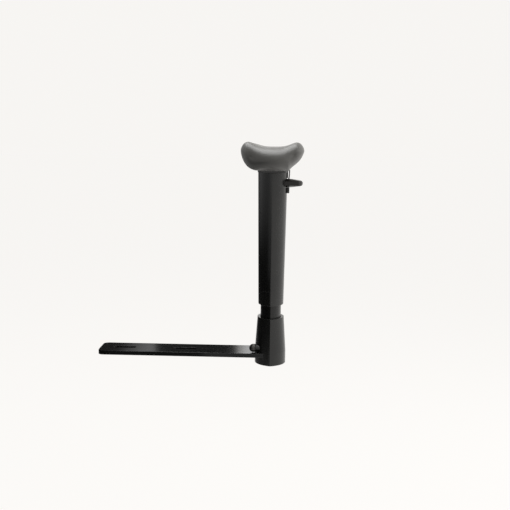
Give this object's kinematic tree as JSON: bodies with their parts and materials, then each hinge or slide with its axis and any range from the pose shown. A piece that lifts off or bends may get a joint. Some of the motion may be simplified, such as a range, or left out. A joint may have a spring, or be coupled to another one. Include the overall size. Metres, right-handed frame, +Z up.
{
  "type": "chair armrest",
  "caption": "Height-adjustable chair armrest: a scooped soft pad on a tapered sliding sleeve with a release paddle, on a booted, bent steel seat bracket.",
  "frame": {"origin": "middle of the two seat bolt slots, on the bracket's top face, which bolts up against the underside of the seat", "axes": "+X outward from the seat along the bar, +Y towards the back of the chair, +Z up along the upright"},
  "size_m": [0.293, 0.25, 0.32],
  "materials": {
    "black_paint": "gloss",
    "bright_steel": "zinc plated",
    "dark_plated_steel": "black zinc plated",
    "black_plastic": "semi-gloss, fine moulded grain",
    "lever_plastic": "satin",
    "natural_acetal": "smooth",
    "plywood": "bare",
    "brass": "machined",
    "grey_foam": "soft moulded skin, satin"
  },
  "bodies": {
    "base": {"seat_bracket": "black_paint", "bracket_weld_nut": "bright_steel", "inner_column": "black_plastic", "column_screws": "bright_steel", "upper_glide": "natural_acetal", "travel_stop_screw": "bright_steel", "boot": "black_plastic", "boot_cap": "black_plastic", "boot_cap_screw": "bright_steel", "boot_bolt": "dark_plated_steel", "boot_washer": "black_paint"},
    "carriage": {"outer_sleeve": "black_plastic", "lower_glide": "natural_acetal", "sleeve_head": "black_plastic", "head_screws": "bright_steel", "lever_bezel": "black_plastic", "pivot_pin": "bright_steel", "pad_plate": "black_paint", "pad_screws": "bright_steel", "pad_core": "plywood", "pad_inserts": "brass", "pad_cushion": "grey_foam"},
    "lever": {"release_lever": "lever_plastic", "return_leaf": "lever_plastic"}
  },
  "joints": [
    {"name": "height_slide", "type": "slide", "parent": "base", "child": "carriage", "axis": [0, 0, 1], "range_m": [-0.01, 0.05]},
    {"name": "lever_pivot", "type": "hinge", "parent": "carriage", "child": "lever", "pos_m": [0.17955, 0, 0.245], "axis": [0, -1, 0], "range_deg": [0, 4.5], "stiffness_Nm_per_rad": 0.6, "springref_deg": -2.86}
  ]
}
